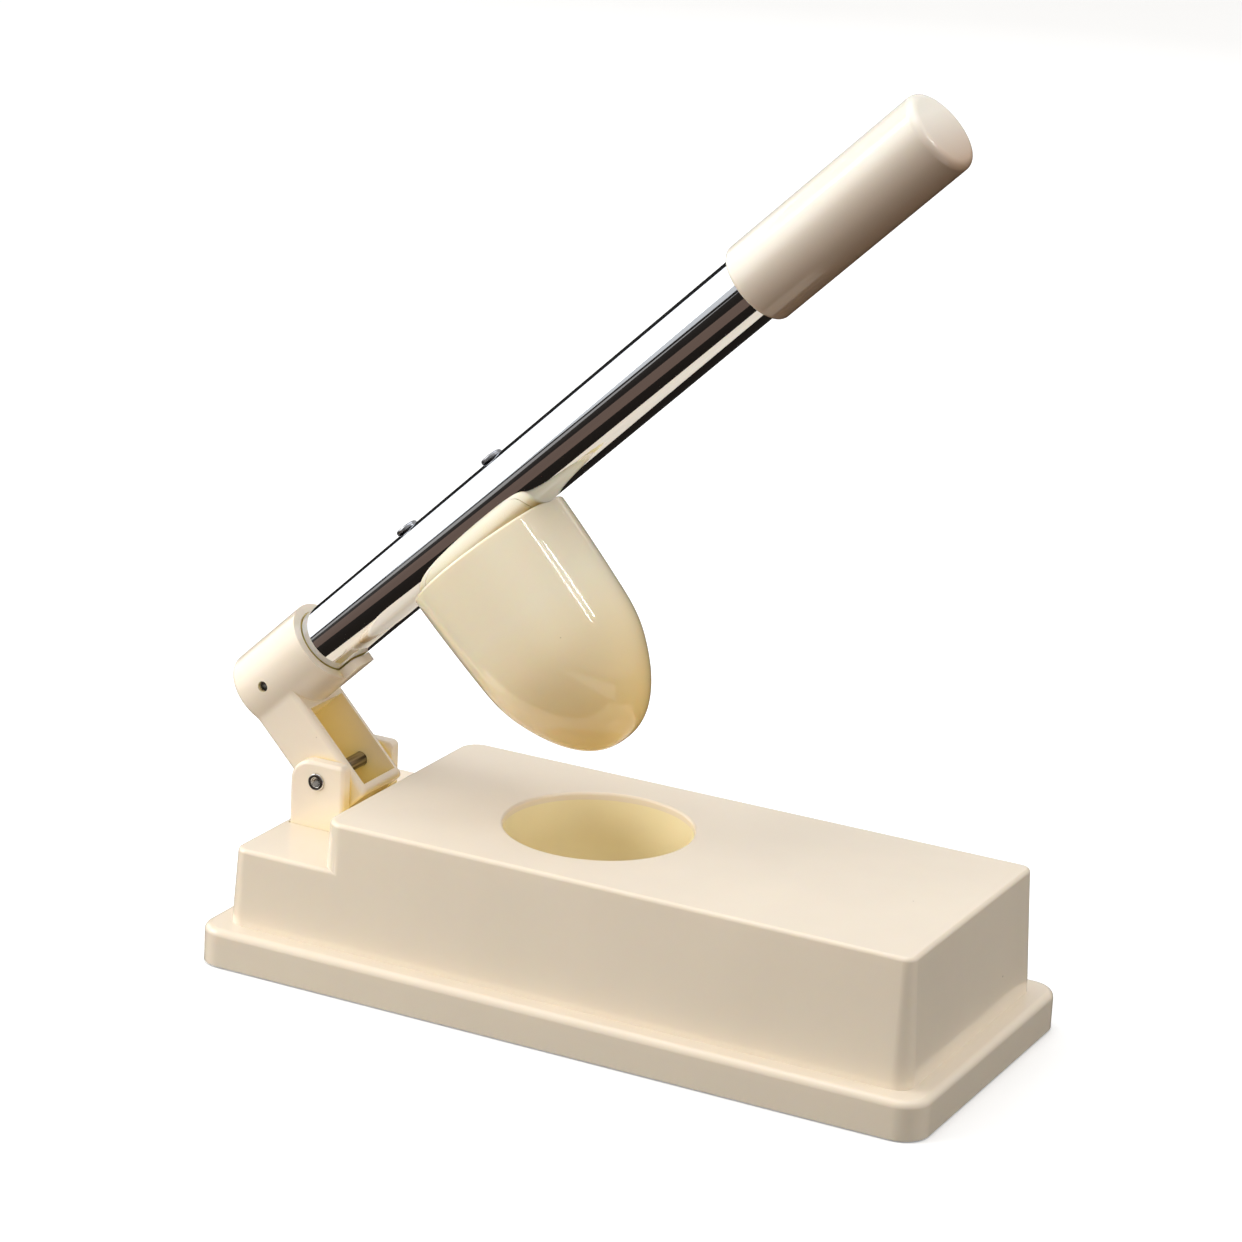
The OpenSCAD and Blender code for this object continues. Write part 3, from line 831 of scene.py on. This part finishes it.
def handle_grip():
    """The moulded grip: a plain round sleeve with a closed, soft-edged end."""
    bore = tube_r + 0.05
    inside = grip_end - 3.2
    profile = eased([(0, inside, 0), (bore, inside, 0), (bore, grip_start, 0.3), (grip_r, grip_start, 1.8),
                     (grip_r, grip_end, 3.4), (0, grip_end, 0)], steps=12, closed=False)
    grip = turned("grip_sleeve", profile, 160, TO_X, (0, 0, tube_q))
    place(shade(grip), "lever", ivory_grip, "ivory_grip", "handle_grip")


def plunger_plain_r(q):
    """The plunger's radius at a height: a wall that bows out slightly, then the dome."""
    if q > dome_start:
        share = (plunger_top - q) / (plunger_top - dome_start)
        return dome_r + (plunger_r - dome_r) * (1 - share ** plunger_bow)
    depth = min(1, (dome_start - q) / (dome_start - plunger_tip))
    return dome_r * (1 - depth ** plunger_drop_power) ** (1 / plunger_side_power)


def plunger_outer_r(q):
    """plunger_plain_r averaged over nearby heights, so that the wall runs into the dome without a line."""
    reach = min(plunger_blend, (q - plunger_tip) / 3, plunger_top - q)
    return sum(plunger_plain_r(q + reach * k / 8) for k in range(-8, 9)) / 17


def plunger_head():
    """The domed plunger, hollow under its cap, saddled for the tube."""
    drop = dome_start - plunger_tip
    seat = plunger_top - cap_thick
    inner = [p + Vector((0, dome_start)) for p in
             dome(dome_r - plunger_wall, drop - plunger_wall, 1.5, 2.0, 24)]
    height = plunger_top - 2 - plunger_tip
    levels = [plunger_tip + height * (1 - k / 80) ** 2 for k in range(80)]
    outer = [(plunger_outer_r(q), q) for q in levels] + [(0, plunger_tip)]
    rim = eased([(cap_r + 0.1, seat, 0), (cap_r + 0.1, plunger_top, 0.3), (plunger_r, plunger_top, 1.2),
                 (plunger_r, plunger_top - 3, 0)], steps=6, closed=False)[:-1]
    profile = list(reversed(inner)) + [(cap_r - 0.5, seat)] + rim + outer
    head = turned("plunger_body", profile, 160, shift=(plunger_s, 0, 0))
    fuse(head, *[peg("post", plunger_post_r, dome_start - 2, seat, shift=(s, 0, 0))
                 for s in plunger_screw_s])
    cut(head, *[peg("insert_bore", insert_r + 0.02, seat - 11, seat + 1, shift=(s, 0, 0))
                for s in plunger_screw_s])
    cut(head, peg("saddle", tube_r + 0.05, plunger_s - 45, plunger_s + 45, TO_X, (0, 0, tube_q), 144))
    place(shade(head), "lever", ivory_plunger, "ivory_plunger", "plunger_head")


def plunger_screws():
    """The two low pan-head screws on top of the tube, each with a hex socket."""
    under_head = tube_q + tube_r + 0.02
    tip = plunger_top - cap_thick - 10
    screws = None
    for s in plunger_screw_s:
        profile = eased([(0, tip, 0), (plunger_screw_r, tip, 0.5), (plunger_screw_r, under_head, 0),
                         (screw_head_r, under_head, 0.1), (screw_head_r, under_head + screw_head, 1),
                         (0, under_head + screw_head, 0)], steps=6, closed=False)
        screw = turned("tube_screws", profile, 64, shift=(s, 0, 0))
        cut(screw, peg("socket", 1.7, under_head + 0.6, under_head + 3, shift=(s, 0, 0), steps=6))
        screws = fuse(screws, screw) if screws else screw
    place(shade(screws), "lever", zinc, "chrome_screw", "plunger_screws")


base_shell()
well_cup()
hinge_bracket()
hinge_pin()
hinge_arm()
handle_tube()
handle_grip()
plunger_head()
plunger_screws()

# CAD nodes that are shown as they are
finish_of = {
    "bottom_plate": plate_plastic,
    "bottom_plate_screws": zinc,
    "rubber_feet": black_rubber,
    "well_cup_screws": zinc,
    "hinge_bracket_screws": zinc,
    "pin_retaining_clip": pin_steel,
    "hinge_bushes": brass,
    "tube_lock_pin": pin_steel,
    "plunger_cap": ivory_plunger,
    "plunger_inserts": brass,
    "screw_spacers": zinc,
}
for node, material in finish_of.items():
    for material_slot in frame["nodes"][node].material_slots:
        material_slot.material = material


# ---------- studio ----------

def add_floor():
    """A wide slab of backdrop paper with its top at height 0."""
    half = 15000
    corners = [(-half, -half), (half, -half), (half, half), (-half, half)]
    floor = lofted("studio_floor", [(corners, -20), (corners, 0)])
    floor.data.materials.append(paper_floor("floor_paper"))


def add_softbox(name, place_at, aim_at, width, height, power, colour=(1, 1, 1),
                mirrored=True, lighting=True):
    """A rectangular area light that looks at a point.

    Unless mirrored, it makes no highlights. Unless lighting, it is only seen in reflections.
    """
    light = bpy.data.lights.new(name, "AREA")
    light.shape = "RECTANGLE"
    light.size = width
    light.size_y = height
    light.energy = power
    light.color = colour
    obj = bpy.data.objects.new(name, light)
    obj.location = place_at
    obj.rotation_euler = (Vector(aim_at) - Vector(place_at)).to_track_quat("-Z", "Y").to_euler()
    obj.visible_camera = False
    obj.visible_glossy = mirrored
    obj.visible_diffuse = lighting
    bpy.context.scene.collection.objects.link(obj)


def add_sun(name, towards, strength, spread, colour=(1, 1, 1)):
    """A distant soft light. towards points from the object to the light."""
    light = bpy.data.lights.new(name, "SUN")
    light.energy = strength
    light.angle = radians(spread)
    light.color = colour
    obj = bpy.data.objects.new(name, light)
    obj.rotation_euler = Vector(towards).to_track_quat("Z", "Y").to_euler()
    bpy.context.scene.collection.objects.link(obj)


def add_world():
    """Soft fill light all round. It is pale to the camera.

    Mirrored, it is dark low down and to the left, and brighter above and to the right.
    """
    world = bpy.data.worlds.new("studio")
    world.use_nodes = True
    nodes = world.node_tree.nodes
    links = world.node_tree.links
    path = nodes.new("ShaderNodeLightPath")
    direction = nodes.new("ShaderNodeTexCoord")
    rise = nodes.new("ShaderNodeVectorMath")
    rise.operation = "DOT_PRODUCT"
    rise.inputs[1].default_value = (0.6, 0, 1)
    sky = nodes.new("ShaderNodeMapRange")
    seen = nodes.new("ShaderNodeMapRange")
    mirrored = nodes.new("ShaderNodeMix")
    for name, number in (("From Max", 0.7), ("To Min", 0.02), ("To Max", 0.4)):
        sky.inputs[name].default_value = number
    seen.inputs["To Min"].default_value = 0.62
    seen.inputs["To Max"].default_value = 1.0
    links.new(direction.outputs["Generated"], rise.inputs[0])
    links.new(rise.outputs["Value"], sky.inputs["Value"])
    links.new(path.outputs["Is Camera Ray"], seen.inputs["Value"])
    links.new(path.outputs["Is Glossy Ray"], mirrored.inputs["Factor"])
    links.new(seen.outputs["Result"], mirrored.inputs[2])
    links.new(sky.outputs["Result"], mirrored.inputs[3])
    links.new(mirrored.outputs[0], nodes["Background"].inputs["Strength"])
    nodes["Background"].inputs["Color"].default_value = (1.0, 0.985, 0.965, 1)
    bpy.context.scene.world = world


def add_camera():
    """The photograph's view: a long lens, from the front right and a little above."""
    azimuth = radians(26.566)
    elevation = radians(17.453)
    roll = radians(3.039)
    distance = 1.584
    target = Vector((centre_x * MM - 0.0101, 0, 0.1515))
    back = Vector((cos(elevation) * sin(azimuth), -cos(elevation) * cos(azimuth), sin(elevation)))
    right = Matrix.Rotation(roll, 3, back) @ Vector((0, 0, 1)).cross(back).normalized()
    up = back.cross(right)
    data = bpy.data.cameras.new("camera")
    data.sensor_width = 36
    data.lens = 119.68
    data.clip_end = 100
    camera = bpy.data.objects.new("camera", data)
    camera.matrix_world = Matrix.Translation(target + back * distance) @ Matrix(
        (right, up, back)).transposed().to_4x4()
    bpy.context.scene.collection.objects.link(camera)
    bpy.context.scene.camera = camera


add_floor()
add_world()
# big cards for light and reflections
add_sun("key", (-0.8, -0.3, 0.55), 0.8, 30)
add_softbox("left_card", (-1.6, -0.3, 0.5), (0, 0, 0.25), 2.6, 0.85, 9.5)
add_softbox("left_end", (-1.25, -1.6, 0.28), (0, 0, 0.25), 0.6, 0.5, 0.62)
add_softbox("near_left", (-0.75, -0.75, 0.35), (-0.1, 0, 0.08), 0.5, 0.5, 4.3, (1, 0.98, 0.93),
            mirrored=False)
add_softbox("top_card", (-0.2, 0.1, 2.0), (0, 0, 0.1), 1.6, 1.6, 12, (0.92, 0.98, 1.1))
add_softbox("back_card", (-0.7, 2.1, 0.85), (0, 0, 0.1), 1.8, 0.9, 2.4)
add_softbox("right_low", (1.5, 0.1, 0.3), (0, 0, 0.1), 1.4, 0.6, 3.6, mirrored=False)
add_softbox("right_card", (2.0, -0.9, 0.5), (0, 0, 0.1), 1.4, 0.9, 1.1, (1, 0.92, 0.8), mirrored=False)
# two window bars, the streaks on the plunger
add_softbox("window_near", (1.05, -0.03, 1.22), (0, 0, 0.15), 0.04, 0.4, 1.0)
add_softbox("window_far", (1.02, 0.17, 1.22), (0, 0, 0.15), 0.03, 0.36, 1.4)
# light on the floor that the tube mirrors
add_softbox("front_glow", (-0.2, -0.365, 0.002), (-0.2, -0.365, 1), 1.2, 0.26, 0.13, (1, 0.65, 0.5))
add_softbox("floor_glow", (-0.95, -1.0, 0.003), (-0.95, -1.0, 1), 0.9, 0.5, 0.45, (1, 0.95, 0.9))
add_softbox("right_glow", (0.95, -0.45, 0.002), (0.95, -0.45, 1), 1.1, 0.8, 2.2, lighting=False)
add_camera()
bpy.context.scene.view_settings.view_transform = "Standard"
